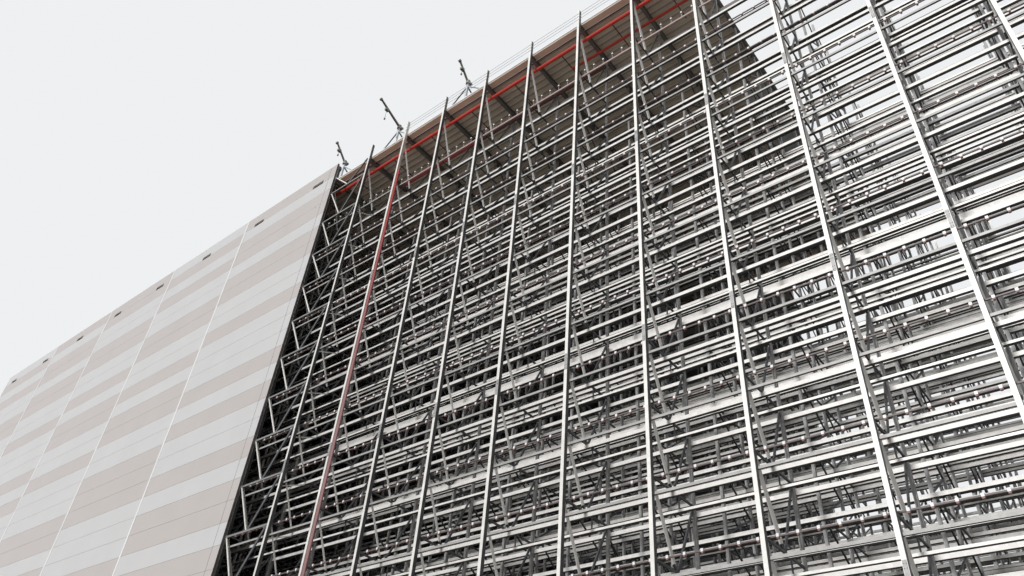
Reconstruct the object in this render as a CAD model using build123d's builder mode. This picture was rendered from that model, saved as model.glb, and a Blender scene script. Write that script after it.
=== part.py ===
from build123d import *
import math
import os

os.makedirs("parts", exist_ok=True)

# Rack-clad high-bay warehouse under construction, as a scale model at 1:2.
# Every size is the model's own, in millimetres, so the real one is twice as large.
# X runs along the facade, Y into the building and Z up, from the underside of the slab.

# Grid and storeys
bay = 1440
bays = 27
clad_bays = 15
back_clad_bays = 21
deck_bays = 23
storey = 1110
levels = 14
top_storey_extra = 85
slab_thick = 100

# Depths of the racking: a single row along each long wall, and three rows between the aisles
inner_line = 1200
mid_line = 610
outer_aisle = 965
row_mid = 960
row_width = 1750
middle_aisle = 1310
middle_row_width = 1330

# Posts, uprights, beams and struts
post_width = 56
post_depth = 75
post_wall = 12
upright_width = 45
upright_depth = 50
beam_height = 60
beam_thick = 30
beam_drop = 70
outer_beam_height = 40
outer_beam_drop = 200
strut_width = 24
strut_height = 30
strut_every = 2
brace_width = 46
brace_thick = 24
ledger_height = 45

# Roof
head_room = 1660
rafter_height = 140
rafter_width = 70
rafter_flange = 16
rafter_web = 12
roof_beam_height = 145
roof_beam_thick = 50
roof_beam_drop = 485
deck_thick = 75
rib_width = 170
rib_depth = 55
rib_bottom = 45
rib_top = 95
edge_trim_thick = 20
edge_trim_height = 35

# Envelope
parapet_rise = 450
panel_cover = 30
panel_thick = 50
rail_depth = 20
rail_height = 70
panel_row = 500
module_bays = 3
panel_joint = 6
trim_width = 60
trim_proud = 6
cap_height = 30
slot_length = 475
slot_height = 140
slot_drop = 450
slot_every = 2
slot_first = 0.5

# Sprinklers and lines
main_diameter = 75
main_line = 305
pipe_drop = 135
hanger_width = 24
hanger_thick = 8
hanger_first = 1
hanger_every = 4
second_diameter = 55
second_line = 790
second_first = clad_bays + 5.5
riser_diameter = 54
riser_grid = clad_bays + 2
riser_drop = 1435
rack_pipe = 20
rack_pipe_line = 165
safety_line = 6
safety_grid = clad_bays + 2
safety_rise = 60
safety_pitch = 120
safety_count = 3

# Roof hoists: gridline, reach of the boom over the edge, its rise and the drop of the hook.
# The pin and its bore are round, the flange and the head have a few flat sides.
hoists = [(15.03, 435, 480, 130), (16.64, 810, 410, 320), (18.45, 415, 490, 150)]
mast_line = 125
flat_sides = 12
mast_radius = 36
mast_flange_radius = 62
mast_flange = 16
mast_height = 640
pin_radius = 22
pin_length = 70
turning_gap = 0.3
foot_spread = 540
foot_back = 900
leg_size = 34
stay_share = 0.85
pad_radius = 42
pad_height = 20
head_radius = 60
head_height = 110
boom_width = 52
boom_height = 60
sheave_radius = 40
sheave_width = 64
winch_radius = 40
winch_length = 100
hook_share = 0.66
motor_width = 70
motor_length = 110
motor_height = 90
hook_width = 36
hook_length = 56
rope = 8

# Derived places
end_wall_depth = panel_thick + rail_depth
length = trim_proud + end_wall_depth + post_width + bays * bay
left_face = trim_proud - length / 2
row_b_start = inner_line + outer_aisle
row_c_start = row_b_start + row_width + middle_aisle
row_d_start = row_c_start + middle_row_width + middle_aisle
row_b_lines = [row_b_start, row_b_start + row_mid, row_b_start + row_width]
row_c_lines = [row_c_start, row_c_start + middle_row_width]
row_d_lines = [row_d_start, row_d_start + row_width]
building_depth = row_d_start + row_width + outer_aisle + inner_line
front_plane = -building_depth / 2
back_plane = building_depth / 2
front_face = front_plane - rail_depth - panel_thick
back_face = back_plane + rail_depth + panel_thick
right_face = length / 2
slab_top = slab_thick
top_level = levels * storey + top_storey_extra
rafter_bottom = top_level + head_room
roof_beam_top = rafter_bottom - roof_beam_drop
deck_bottom = rafter_bottom + rafter_height
deck_top = deck_bottom + deck_thick
post_top = deck_top + parapet_rise
wall_top = post_top + panel_cover
riser_top = rafter_bottom - riser_drop
mast_top = deck_top + mast_height


def grid_x(number):
    return left_face + end_wall_depth + post_width / 2 + number * bay


def line_y(distance):
    return front_plane + distance


def level_z(number):
    # The topmost storey is a little higher than the others
    return top_level if number == levels else number * storey


corner_x = grid_x(clad_bays)
back_corner_x = grid_x(back_clad_bays)
all_grids = [grid_x(i) for i in range(bays + 1)]
strut_grids = [grid_x(i) for i in range(clad_bays, bays + 1, strut_every)]
level_heights = [level_z(i) for i in range(1, levels + 1)]
rack_left = grid_x(0) - post_width / 2
rack_right = grid_x(bays) + post_width / 2


def finish(part, name):
    part.part.label = name
    export_step(part.part, f"parts/{name}.step")


def channel_sketch(places, open_side):
    # Three-sided channel, open towards the inside of the building
    with Locations(*places):
        Rectangle(post_width, post_depth)
    shifted = [(x, y + open_side * post_wall) for x, y in places]
    with Locations(*shifted):
        Rectangle(post_width - 2 * post_wall, post_depth, mode=Mode.SUBTRACT)


def upright_rows(name, lines):
    with BuildPart() as uprights:
        with BuildSketch(Plane.XY.offset(slab_top)):
            with Locations(*[(x, line_y(y)) for x in all_grids for y in lines]):
                Rectangle(upright_width, upright_depth)
        extrude(amount=rafter_bottom - slab_top)
    finish(uprights, name)


def face_y(line, side, thick):
    # Middle of a beam that runs on the front (-1) or back (1) face of a line of uprights
    return line_y(line) + side * (upright_depth + thick) / 2


def beam_rows(name, faces):
    with BuildPart() as beams:
        with BuildSketch(Plane.YZ.offset(rack_left)):
            for line, side in faces:
                y = face_y(line, side, beam_thick)
                with Locations(*[(y, z - beam_drop) for z in level_heights]):
                    Rectangle(beam_thick, beam_height)
        extrude(amount=rack_right - rack_left)
    finish(beams, name)


# Floor slab
with BuildPart() as base_slab:
    with BuildSketch(Plane.XY):
        Rectangle(length, 2 * (back_face + trim_proud))
    extrude(amount=slab_thick)
finish(base_slab, "base_slab")

# Outer posts of both long walls
with BuildPart() as front_posts:
    with BuildSketch(Plane.XY.offset(slab_top)):
        channel_sketch([(x, front_plane + post_depth / 2) for x in all_grids], 1)
    extrude(amount=post_top - slab_top)
finish(front_posts, "front_posts")

with BuildPart() as back_posts:
    with BuildSketch(Plane.XY.offset(slab_top)):
        channel_sketch([(x, back_plane - post_depth / 2) for x in all_grids], -1)
    extrude(amount=post_top - slab_top)
finish(back_posts, "back_posts")

# Rack uprights
upright_rows("front_inner_uprights", [inner_line])
upright_rows("row_b_uprights", row_b_lines)
upright_rows("row_c_uprights", row_c_lines)
upright_rows("row_d_uprights", row_d_lines)
upright_rows("back_inner_uprights", [building_depth - inner_line])

# Rack beams
beam_rows("front_inner_beams", [(inner_line, 1)])
beam_rows("row_b_beams", [(line, -1) for line in row_b_lines])
beam_rows("row_c_beams", [(row_c_lines[0], -1), (row_c_lines[-1], 1)])
beam_rows("row_d_beams", [(row_d_lines[0], 1), (row_d_lines[-1], 1)])
beam_rows("back_inner_beams", [(building_depth - inner_line, -1)])

# Thin beams on the back of the outer posts, a little below each level
with BuildPart() as front_outer_beams:
    with BuildSketch(Plane.YZ.offset(rack_left)):
        outer_y = front_plane + post_depth + beam_thick / 2
        with Locations(*[(outer_y, z - outer_beam_drop) for z in level_heights[:-1]]):
            Rectangle(beam_thick, outer_beam_height)
    extrude(amount=rack_right - rack_left)
finish(front_outer_beams, "front_outer_beams")

# Struts of the front cross frames, over the middle beams, from the outer post to the inner upright,
# at every second frame of the open bays
strut_start = front_plane + post_wall
strut_end = line_y(inner_line) - upright_depth / 2
strut_rise = (beam_height + strut_height) / 2
with BuildPart() as front_frame_struts:
    with BuildSketch(Plane.XZ.offset(-strut_end)):
        with Locations(*[(x, z + strut_rise) for x in strut_grids for z in level_heights]):
            Rectangle(strut_width, strut_height)
    extrude(amount=strut_end - strut_start)
finish(front_frame_struts, "front_frame_struts")

# Beams half way into the front row
with BuildPart() as front_mid_beams:
    with BuildSketch(Plane.YZ.offset(rack_left)):
        with Locations(*[(line_y(mid_line), z) for z in level_heights]):
            Rectangle(beam_thick, beam_height)
    extrude(amount=rack_right - rack_left)
finish(front_mid_beams, "front_mid_beams")

# Braced first open bay: a ledger at each level and one under the roof, with a V below each
brace_left = corner_x + post_width / 2
brace_right = brace_left + bay - post_width
brace_mid = (brace_left + brace_right) / 2
brace_back = front_plane + brace_thick
ledger_heights = level_heights + [roof_beam_top - ledger_height / 2]
brace_feet = [slab_top] + [z + ledger_height / 2 for z in ledger_heights[:-1]]
with BuildPart() as front_wall_bracing:
    with BuildSketch(Plane.XZ.offset(-brace_back)):
        for z in ledger_heights:
            with Locations((brace_mid, z)):
                Rectangle(brace_right - brace_left, ledger_height)
        for low, z in zip(brace_feet, ledger_heights):
            high = z - ledger_height / 2
            for side in (-1, 1):
                outer = brace_mid + side * (brace_right - brace_left) / 2
                inner = brace_mid + side * brace_width
                with BuildLine():
                    Polyline((outer, high), (outer, high - 2 * brace_width), (inner, low),
                             (brace_mid, low), close=True)
                make_face()
    extrude(amount=brace_thick)
finish(front_wall_bracing, "front_wall_bracing")

# Long beams under the roof, on the faces of the uprights that look into the aisles
aisle_faces = [(inner_line, 1), (row_b_lines[0], -1), (row_b_lines[-1], 1), (row_c_lines[0], -1),
               (row_c_lines[-1], 1), (row_d_lines[0], -1), (row_d_lines[-1], 1),
               (building_depth - inner_line, -1)]
with BuildPart() as roof_long_beams:
    with BuildSketch(Plane.YZ.offset(rack_left)):
        for line, side in aisle_faces:
            with Locations((face_y(line, side, roof_beam_thick), roof_beam_top - roof_beam_height / 2)):
                Rectangle(roof_beam_thick, roof_beam_height)
    extrude(amount=rack_right - rack_left)
finish(roof_long_beams, "roof_long_beams")

# Rafters: I-sections on the heads of the uprights, from outer post to outer post
rafter_start = front_plane + post_depth
rafter_end = back_plane - post_depth
rafter_mid_z = rafter_bottom + rafter_height / 2
flange_z = (rafter_height - rafter_flange) / 2
with BuildPart() as roof_rafters:
    with BuildSketch(Plane.XZ.offset(-rafter_end)):
        for i in range(deck_bays + 1):
            with Locations((grid_x(i), rafter_mid_z)):
                Rectangle(rafter_web, rafter_height)
            with Locations((grid_x(i), rafter_mid_z - flange_z), (grid_x(i), rafter_mid_z + flange_z)):
                Rectangle(rafter_width, rafter_flange)
    extrude(amount=rafter_end - rafter_start)
finish(roof_rafters, "roof_rafters")


def deck_outline(y_start, rib_count):
    # Flat top, trapezoidal ribs below, running along the facade
    slope = (rib_top - rib_bottom) / 2
    points = [(y_start, deck_top)]
    for rib in range(rib_count):
        y = y_start + rib * rib_pitch
        points.append((y, deck_bottom))
        points.append((y + rib_bottom, deck_bottom))
        points.append((y + rib_bottom + slope, deck_bottom + rib_depth))
        points.append((y + rib_pitch - slope, deck_bottom + rib_depth))
    y_end = y_start + rib_count * rib_pitch
    return points + [(y_end, deck_bottom + rib_depth / 2), (y_end, deck_top)]


# Roof deck, laid in three strips that end in steps
deck_start = rafter_start + edge_trim_thick
deck_ribs = round((rafter_end - deck_start) / rib_width)
rib_pitch = (rafter_end - deck_start) / deck_ribs
strip_ribs = [deck_ribs // 3, deck_ribs // 3, deck_ribs - 2 * (deck_ribs // 3)]
strip_ends = [grid_x(deck_bays), grid_x(deck_bays - 0.5), grid_x(deck_bays)]
with BuildPart() as roof_deck:
    strip_start = deck_start
    for ribs, x_end in zip(strip_ribs, strip_ends):
        with BuildSketch(Plane.YZ.offset(rack_left)):
            with BuildLine():
                Polyline(*deck_outline(strip_start, ribs), close=True)
            make_face()
        extrude(amount=x_end - rack_left)
        strip_start += ribs * rib_pitch
finish(roof_deck, "roof_deck")

# White flashing along the free edge of the deck
with BuildPart() as roof_edge_trim:
    with BuildSketch(Plane.YZ.offset(rack_left)):
        with Locations((rafter_start + edge_trim_thick / 2, deck_top - edge_trim_height / 2)):
            Rectangle(edge_trim_thick, edge_trim_height)
    extrude(amount=grid_x(deck_bays) - rack_left)
finish(roof_edge_trim, "roof_edge_trim")

# Sheeting rails between posts and panels
rail_heights = level_heights + [top_level + storey, wall_top - rail_height]
rail_start = left_face + panel_thick
with BuildPart() as front_wall_rails:
    with BuildSketch(Plane.YZ.offset(rail_start + rail_depth)):
        with Locations(*[(front_plane - rail_depth / 2, z) for z in rail_heights]):
            Rectangle(rail_depth, rail_height)
    extrude(amount=corner_x + post_width / 2 - rail_start - rail_depth)
finish(front_wall_rails, "front_wall_rails")

with BuildPart() as back_wall_rails:
    with BuildSketch(Plane.YZ.offset(rail_start + rail_depth)):
        with Locations(*[(back_plane + rail_depth / 2, z) for z in rail_heights]):
            Rectangle(rail_depth, rail_height)
    extrude(amount=back_corner_x + post_width / 2 - rail_start - rail_depth)
finish(back_wall_rails, "back_wall_rails")

with BuildPart() as end_wall_rails:
    with BuildSketch(Plane.XZ.offset(panel_thick - back_face)):
        with Locations(*[(rail_start + rail_depth / 2, z) for z in rail_heights]):
            Rectangle(rail_depth, rail_height)
    extrude(amount=back_face - front_face - 2 * panel_thick)
finish(end_wall_rails, "end_wall_rails")

# Cladding: modules of three bays below, and a parapet row with overflow slots on top
panel_base = slab_top
parapet_base = wall_top - 2 * panel_row


def module_edges(last_bay):
    edges = [left_face] + [grid_x(i) for i in range(module_bays, last_bay, module_bays)]
    return edges + [grid_x(last_bay) + post_width / 2]


def wall_modules(y_mid, last_bay, base, top):
    edges = module_edges(last_bay)
    for start, stop in zip(edges, edges[1:]):
        left = start if start == left_face else start + panel_joint / 2
        right = stop if stop == edges[-1] else stop - panel_joint / 2
        with Locations(((left + right) / 2, y_mid, (base + top) / 2)):
            Box(right - left, panel_thick, top - base)


def slot_places(last_bay, y_mid):
    z = wall_top - slot_drop
    count = math.ceil((last_bay - slot_first) / slot_every)
    return [(grid_x(last_bay - slot_first - slot_every * i), y_mid, z) for i in range(count)]


front_mid = front_face + panel_thick / 2
back_mid = back_face - panel_thick / 2
front_edges = module_edges(clad_bays)
for number, (start, stop) in enumerate(zip(front_edges, front_edges[1:]), start=1):
    with BuildPart() as front_module:
        left = start if number == 1 else start + panel_joint / 2
        right = stop if stop == front_edges[-1] else stop - panel_joint / 2
        with Locations(((left + right) / 2, front_mid, (panel_base + parapet_base) / 2)):
            Box(right - left, panel_thick, parapet_base - panel_base)
    finish(front_module, f"front_cladding_{number}")

with BuildPart() as front_parapet:
    wall_modules(front_mid, clad_bays, parapet_base, wall_top)
    with Locations(*slot_places(clad_bays, front_mid)):
        Box(slot_length, panel_thick, slot_height, mode=Mode.SUBTRACT)
finish(front_parapet, "front_parapet")

with BuildPart() as back_cladding:
    wall_modules(back_mid, back_clad_bays, panel_base, parapet_base)
finish(back_cladding, "back_cladding")

with BuildPart() as back_parapet:
    wall_modules(back_mid, back_clad_bays, parapet_base, wall_top)
    with Locations(*slot_places(back_clad_bays, back_mid)):
        Box(slot_length, panel_thick, slot_height, mode=Mode.SUBTRACT)
finish(back_parapet, "back_parapet")

end_span = back_face - front_face - 2 * panel_thick
with BuildPart() as end_wall_cladding:
    with Locations((left_face + panel_thick / 2, 0, (panel_base + wall_top) / 2)):
        Box(panel_thick, end_span, wall_top - panel_base)
finish(end_wall_cladding, "end_wall_cladding")

# Joint trims over the module joints, and the capping of the parapet
with BuildPart() as joint_trims:
    with BuildSketch(Plane.XY.offset(panel_base)):
        for x in front_edges[1:-1]:
            with Locations((x, front_face - trim_proud / 2)):
                Rectangle(trim_width, trim_proud)
        for x in module_edges(back_clad_bays)[1:-1]:
            with Locations((x, back_face + trim_proud / 2)):
                Rectangle(trim_width, trim_proud)
        with Locations((left_face - trim_proud / 2, 0)):
            Rectangle(trim_proud, trim_width)
    extrude(amount=wall_top - panel_base)
finish(joint_trims, "joint_trims")

with BuildPart() as parapet_cap:
    with BuildSketch(Plane.XY.offset(wall_top)):
        with BuildLine():
            Polyline((front_edges[-1], front_face), (left_face, front_face), (left_face, back_face),
                     (back_corner_x + post_width / 2, back_face),
                     (back_corner_x + post_width / 2, back_plane), (rack_left, back_plane),
                     (rack_left, front_plane), (front_edges[-1], front_plane), close=True)
        make_face()
    extrude(amount=cap_height)
finish(parapet_cap, "parapet_cap")


# Sprinklers
def pipe_sketch(diameter):
    # Eight-sided pipe with flats on the axes
    RegularPolygon(radius=diameter / 2, side_count=8, major_radius=False, rotation=22.5)


main_end = grid_x(deck_bays) + rafter_width / 2
pipe_top = rafter_bottom - pipe_drop
hanger_grids = [i for i in range(hanger_first, deck_bays + 1, hanger_every)]
with BuildPart() as roof_sprinkler_main:
    with BuildSketch(Plane.YZ.offset(rack_left)):
        with Locations((line_y(main_line), pipe_top - main_diameter / 2)):
            pipe_sketch(main_diameter)
    extrude(amount=main_end - rack_left)
    with BuildSketch(Plane.YZ.offset(grid_x(second_first))):
        with Locations((line_y(second_line), pipe_top - second_diameter / 2)):
            pipe_sketch(second_diameter)
    extrude(amount=main_end - grid_x(second_first))
    # Flat hangers from the rafters
    for line, first in ((main_line, 0), (second_line, second_first)):
        places = [(grid_x(i), line_y(line), pipe_top + pipe_drop / 2) for i in hanger_grids if i > first]
        with Locations(*places):
            Box(hanger_width, hanger_thick, pipe_drop)
finish(roof_sprinkler_main, "roof_sprinkler_main")

with BuildPart() as sprinkler_riser:
    with BuildSketch(Plane.XY.offset(slab_top)):
        riser_x = grid_x(riser_grid) + (post_width + riser_diameter) / 2
        with Locations((riser_x, front_plane + post_depth - riser_diameter / 2)):
            pipe_sketch(riser_diameter)
    extrude(amount=riser_top - slab_top)
finish(sprinkler_riser, "sprinkler_riser")

with BuildPart() as rack_sprinkler_lines:
    with BuildSketch(Plane.YZ.offset(corner_x)):
        pipe_rise = strut_rise + (strut_height + rack_pipe) / 2
        with Locations(*[(line_y(rack_pipe_line), z + pipe_rise) for z in level_heights[:-1]]):
            Rectangle(rack_pipe, rack_pipe)
    extrude(amount=rack_right - corner_x)
finish(rack_sprinkler_lines, "rack_sprinkler_lines")

with BuildPart() as safety_lines:
    with BuildSketch(Plane.YZ.offset(grid_x(safety_grid))):
        for i in range(safety_count):
            with Locations((front_plane - safety_line / 2, deck_top + safety_rise + i * safety_pitch)):
                Rectangle(safety_line, safety_line)
    extrude(amount=grid_x(deck_bays) - grid_x(safety_grid))
finish(safety_lines, "safety_lines")


# Roof hoists
def hoist_base(name, x):
    y = line_y(mast_line)
    rear_y = y + foot_back
    leg_z = deck_top + pad_height + leg_size / 2
    brace_top = deck_top + mast_height * stay_share
    with BuildPart() as base:
        # Pads on the roof
        with BuildSketch(Plane.XY.offset(deck_top)):
            with Locations((x - foot_spread, y), (x + foot_spread, y), (x, rear_y)):
                RegularPolygon(radius=pad_radius, side_count=8)
        extrude(amount=pad_height)
        # Bars of the T-shaped foot frame
        with Locations((x, y, leg_z)):
            Box(2 * foot_spread + leg_size, leg_size, leg_size)
        with Locations((x, (y + rear_y) / 2, leg_z)):
            Box(leg_size, foot_back + leg_size, leg_size)
        # Mast with its flange and slewing pin
        with BuildSketch(Plane.XY.offset(leg_z)):
            with Locations((x, y)):
                RegularPolygon(radius=mast_radius, side_count=8)
        extrude(amount=mast_top - mast_flange - leg_z)
        with BuildSketch(Plane.XY.offset(mast_top - mast_flange)):
            with Locations((x, y)):
                RegularPolygon(radius=mast_flange_radius, side_count=flat_sides)
        extrude(amount=mast_flange)
        with BuildSketch(Plane.XY.offset(mast_top)):
            with Locations((x, y)):
                Circle(pin_radius)
        extrude(amount=pin_length)
        # Two side stays and one rear stay
        with BuildSketch(Plane.XZ.offset(-y - leg_size / 2)):
            for side in (-1, 1):
                foot = x + side * foot_spread
                with BuildLine():
                    Polyline((foot, leg_z), (foot - side * leg_size, leg_z), (x, brace_top - leg_size),
                             (x, brace_top), close=True)
                make_face()
        extrude(amount=leg_size)
        with BuildSketch(Plane.YZ.offset(x - leg_size / 2)):
            with BuildLine():
                Polyline((rear_y, leg_z), (rear_y - leg_size, leg_z), (y, brace_top - leg_size),
                         (y, brace_top), close=True)
            make_face()
        extrude(amount=leg_size)
    finish(base, name)


def hoist_jib(name, x, reach, rise, drop):
    y = line_y(mast_line)
    head_bottom = mast_top + turning_gap
    head_top = head_bottom + head_height
    root_y = y - head_radius / 2
    root_z = head_top - boom_height
    tip_y = y - reach
    tip_z = root_z + rise
    hook_y = root_y + (tip_y - root_y) * hook_share
    motor_z = root_z + rise * hook_share - motor_height / 2
    rope_top = motor_z - motor_height / 2
    with BuildPart() as jib:
        # Turning head, bored for the pin
        with BuildSketch(Plane.XY.offset(head_bottom)):
            with Locations((x, y)):
                RegularPolygon(radius=head_radius, side_count=flat_sides)
        extrude(amount=head_height)
        with BuildSketch(Plane.XY.offset(head_bottom)):
            with Locations((x, y)):
                Circle(pin_radius + turning_gap)
        extrude(amount=pin_length + turning_gap, mode=Mode.SUBTRACT)
        # Boom that tapers to its tip, with the sheave housing there
        with BuildSketch(Plane.YZ.offset(x - boom_width / 2)):
            with BuildLine():
                Polyline((root_y, root_z), (tip_y, tip_z), (tip_y, tip_z + boom_height / 2),
                         (root_y, head_top), close=True)
            make_face()
        extrude(amount=boom_width)
        with BuildSketch(Plane.YZ.offset(x - sheave_width / 2)):
            with Locations((tip_y, tip_z)):
                RegularPolygon(radius=sheave_radius, side_count=8)
        extrude(amount=sheave_width)
        # Hoist motor under the boom, its rope and the hook block
        with Locations((x, hook_y, motor_z)):
            Box(motor_width, motor_length, motor_height)
        with Locations((x, hook_y, rope_top - drop / 2)):
            Box(rope, rope, drop)
        with Locations((x, hook_y, rope_top - drop - hook_length / 2)):
            Box(hook_width, hook_width, hook_length)
        # Winch drum behind the head
        with BuildSketch(Plane.YZ.offset(x - winch_length / 2)):
            with Locations((y + head_radius + winch_radius / 2, head_bottom + head_height / 2)):
                RegularPolygon(radius=winch_radius, side_count=10)
        extrude(amount=winch_length)
    finish(jib, name)


for number, (grid, reach, rise, drop) in enumerate(hoists, start=1):
    hoist_base(f"hoist_{number}_base", grid_x(grid))
    hoist_jib(f"hoist_{number}_jib", grid_x(grid), reach, rise, drop)
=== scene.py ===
import math

import bmesh
import bpy
from mathutils import Matrix, Vector


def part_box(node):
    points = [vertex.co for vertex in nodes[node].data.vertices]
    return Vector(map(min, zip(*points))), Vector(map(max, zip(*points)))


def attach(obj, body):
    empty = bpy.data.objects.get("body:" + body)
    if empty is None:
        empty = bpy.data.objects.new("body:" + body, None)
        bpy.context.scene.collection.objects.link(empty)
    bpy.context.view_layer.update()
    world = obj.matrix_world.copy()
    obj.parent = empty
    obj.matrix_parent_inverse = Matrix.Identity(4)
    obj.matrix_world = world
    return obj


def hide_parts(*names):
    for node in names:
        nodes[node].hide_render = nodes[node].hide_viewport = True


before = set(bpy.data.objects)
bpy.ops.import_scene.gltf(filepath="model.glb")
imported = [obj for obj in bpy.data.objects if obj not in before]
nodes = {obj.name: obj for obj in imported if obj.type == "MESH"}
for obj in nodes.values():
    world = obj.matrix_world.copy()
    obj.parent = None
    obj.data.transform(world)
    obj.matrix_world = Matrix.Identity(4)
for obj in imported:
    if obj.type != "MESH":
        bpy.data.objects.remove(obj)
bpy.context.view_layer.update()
scene = bpy.context.scene
home = "building"

# Counts of this building, and sizes that its whole racking shares, in metres of the 1:2 model
bayCount = 27
cladBays = 15
backCladBays = 21
deckBays = 23
moduleBays = 3
levelCount = 14
bay = 1.44
postDepth = 0.075
beamTall = 0.06

# Places read from the frame
postLow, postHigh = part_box("front_posts")
innerLow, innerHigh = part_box("front_inner_uprights")
midLow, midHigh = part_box("front_mid_beams")
beamLow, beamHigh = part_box("front_inner_beams")
strutLow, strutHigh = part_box("front_frame_struts")
deckLow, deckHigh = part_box("roof_deck")
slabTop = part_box("base_slab")[1].z
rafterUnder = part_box("roof_rafters")[0].z
postWidth = postHigh.x - postLow.x - bayCount * bay
uprightDepth = innerHigh.y - innerLow.y
beamThick = beamHigh.y - beamLow.y
frontPlane = postLow.y
gridZero = postLow.x + postWidth / 2
storey = midLow.z + beamTall / 2
topLevel = midHigh.z - beamTall / 2


def uprightLines(name, share):
    # Distances of a row's three upright lines behind the front plane; the middle one has a set share
    low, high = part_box(name)
    first, last = low.y + uprightDepth / 2 - frontPlane, high.y - uprightDepth / 2 - frontPlane
    return (first, first + (last - first) * share, last)


rowShares = {"b": 0.5486, "c": 0.5, "d": 0.4514}
rowLines = {row: uprightLines(f"row_{row}_uprights", share) for row, share in rowShares.items()}


def gridX(number):
    return gridZero + number * bay


def lineY(distance):
    return frontPlane + distance


def levelZ(number):
    # The topmost storey is a little higher, and the lowest stands on the slab
    if number == 0:
        return slabTop
    return topLevel if number == levelCount else number * storey


# Small helpers for materials
def hexColour(text):
    # sRGB hex to the linear values the shader takes
    channels = [int(text[i:i + 2], 16) / 255 for i in (1, 3, 5)]
    return tuple(c / 12.92 if c <= 0.04045 else ((c + 0.055) / 1.055) ** 2.4 for c in channels) + (1.0,)


def addNode(tree, kind, settings=None, links=None):
    # A setting is an input's value, by its name or number, or else one of the node's own options
    node = tree.nodes.new(kind)
    for key, value in (settings or {}).items():
        if isinstance(key, int) or key in node.inputs:
            node.inputs[key].default_value = value
        else:
            setattr(node, key, value)
    for key, source in (links or {}).items():
        tree.links.new(source, node.inputs[key])
    return node


def newMaterial(name):
    material = bpy.data.materials.new(name)
    material.use_nodes = True
    tree = material.node_tree
    tree.nodes.clear()
    shader = addNode(tree, "ShaderNodeBsdfPrincipled")
    addNode(tree, "ShaderNodeOutputMaterial", None, {"Surface": shader.outputs["BSDF"]})
    return material, tree, shader


# Sockets of a Mix node that blends colours: its share, the colours at 0 and at 1, and what comes out
mixShare, mixLow, mixHigh, mixOut = 0, 6, 7, 2

# Hot-dip galvanised rolled steel. The dip leaves patches of pale and grey zinc crystals; the real ones are
# 10 mm wide and are drawn at 60 mm so that they show. Zinc is a metal under a chalky oxide film, so the
# metallic share is matched down from 1. Faces turned downwards get a dark colour, as painted shade
galvanised = {"light": "#f2efea", "dark": "#d8d5d0", "under": "#43413f", "roughness": 0.5, "metallic": 0.2,
              "spangleMm": 60, "streakMm": 400, "tones": (0.35, 1.15), "underside": (-0.3, -0.8),
              "smoother": 0.08, "rougher": 0.14}


def makeGalvanised(name, values):
    material, tree, shader = newMaterial(name)
    place = addNode(tree, "ShaderNodeTexCoord").outputs["Object"]
    spangle = addNode(tree, "ShaderNodeTexVoronoi", {"Scale": 1000 / values["spangleMm"]},
                      {"Vector": place})
    streaks = addNode(tree, "ShaderNodeTexNoise", {"Scale": 1000 / values["streakMm"], "Detail": 4.0},
                      {"Vector": place})
    patches = addNode(tree, "ShaderNodeMath", {"operation": "MULTIPLY_ADD", 1: 0.5},
                      {0: spangle.outputs["Color"], 2: streaks.outputs["Fac"]})
    first, last = values["tones"]
    share = addNode(tree, "ShaderNodeMapRange", {"From Min": first, "From Max": last},
                    {"Value": patches.outputs[0]})
    tone = addNode(tree, "ShaderNodeMix", {"data_type": "RGBA", mixLow: hexColour(values["dark"]),
                                           mixHigh: hexColour(values["light"])},
                   {mixShare: share.outputs["Result"]})
    # Faces turned downwards take the dark underside colour: painted shade
    normal = addNode(tree, "ShaderNodeNewGeometry").outputs["Normal"]
    facing = addNode(tree, "ShaderNodeSeparateXYZ", None, {"Vector": normal})
    first, last = values["underside"]
    below = addNode(tree, "ShaderNodeMapRange", {"From Min": first, "From Max": last},
                    {"Value": facing.outputs["Z"]})
    skin = addNode(tree, "ShaderNodeMix", {"data_type": "RGBA", mixHigh: hexColour(values["under"])},
                   {mixShare: below.outputs["Result"], mixLow: tone.outputs[mixOut]})
    rough = addNode(tree, "ShaderNodeMapRange", {"To Min": values["roughness"] - values["smoother"],
                                                 "To Max": values["roughness"] + values["rougher"]},
                    {"Value": streaks.outputs["Fac"]})
    tree.links.new(skin.outputs[mixOut], shader.inputs["Base Color"])
    tree.links.new(rough.outputs["Result"], shader.inputs["Roughness"])
    shader.inputs["Metallic"].default_value = values["metallic"]
    return material


# Coil-coated steel sheet. Polyester baked on from a roller is smooth and satin, with a faint change of
# tone along the roll; its orange peel of 1 mm is drawn at 11 mm so that it shows. Paint isn't metallic
coated = {"roughness": 0.38, "change": 0.05, "waveMm": 700, "peelMm": 11.111, "peelStrength": 0.06,
          "peelDeep": 0.002}


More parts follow.
